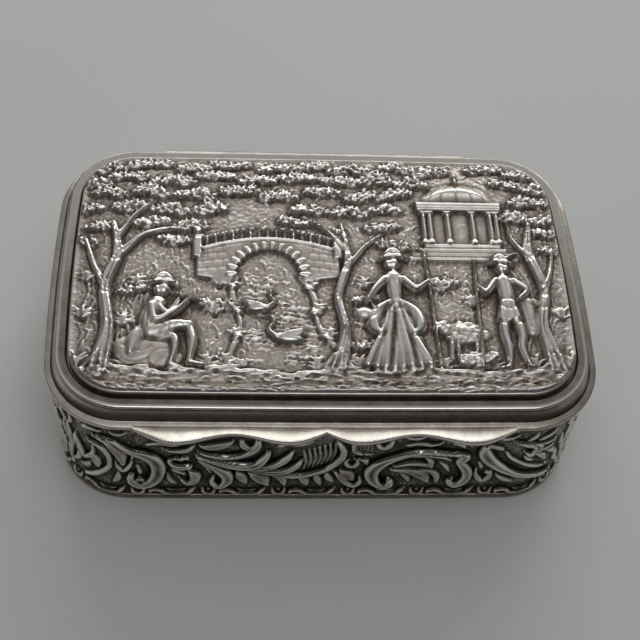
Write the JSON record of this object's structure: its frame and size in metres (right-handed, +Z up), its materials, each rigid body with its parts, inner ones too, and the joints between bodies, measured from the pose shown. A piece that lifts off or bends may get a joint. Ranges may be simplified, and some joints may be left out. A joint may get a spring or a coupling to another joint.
{
  "type": "table snuff box",
  "caption": "Rounded oblong silver box with a chased wall, a gilt lining and a hinged lid with a raised picture panel, for holding snuff or small things.",
  "frame": {"origin": "on the table under the middle of the closed box, where the foot wire stands", "axes": "+X along the box to the right when the thumb piece faces the viewer, +Y towards the hinge, +Z up"},
  "size_m": [0.09, 0.0614, 0.0302],
  "materials": {
    "polished_silver": "polished silver, lightly tarnished",
    "chased_silver": "chased silver, darkened in the hollows",
    "gilt": "polished gilding on silver",
    "pin_steel": "drawn wire"
  },
  "bodies": {
    "case": {"foot_wire": "polished_silver", "bottom_plate": "polished_silver", "case_wall": "chased_silver", "case_rim": "polished_silver", "case_lining": "gilt", "case_joint_strip": "polished_silver", "hinge_pin": "pin_steel", "pin_plug_left": "polished_silver", "pin_plug_right": "polished_silver", "case_knuckle_1": "polished_silver", "case_knuckle_2": "polished_silver", "case_knuckle_3": "polished_silver", "case_knuckle_4": "polished_silver", "case_knuckle_5": "polished_silver"},
    "lid": {"lid_frame": "polished_silver", "lid_bead": "polished_silver", "lid_panel": "chased_silver", "lid_lining": "gilt", "thumb_piece": "polished_silver", "lid_joint_strip": "polished_silver", "lid_knuckle_1": "polished_silver", "lid_knuckle_2": "polished_silver", "lid_knuckle_3": "polished_silver", "lid_knuckle_4": "polished_silver"}
  },
  "joints": [
    {"name": "lid_hinge", "type": "hinge", "parent": "case", "child": "lid", "pos_m": [0, 0.029, 0.02235], "axis": [-1, 0, 0], "range_deg": [0, 104]}
  ]
}
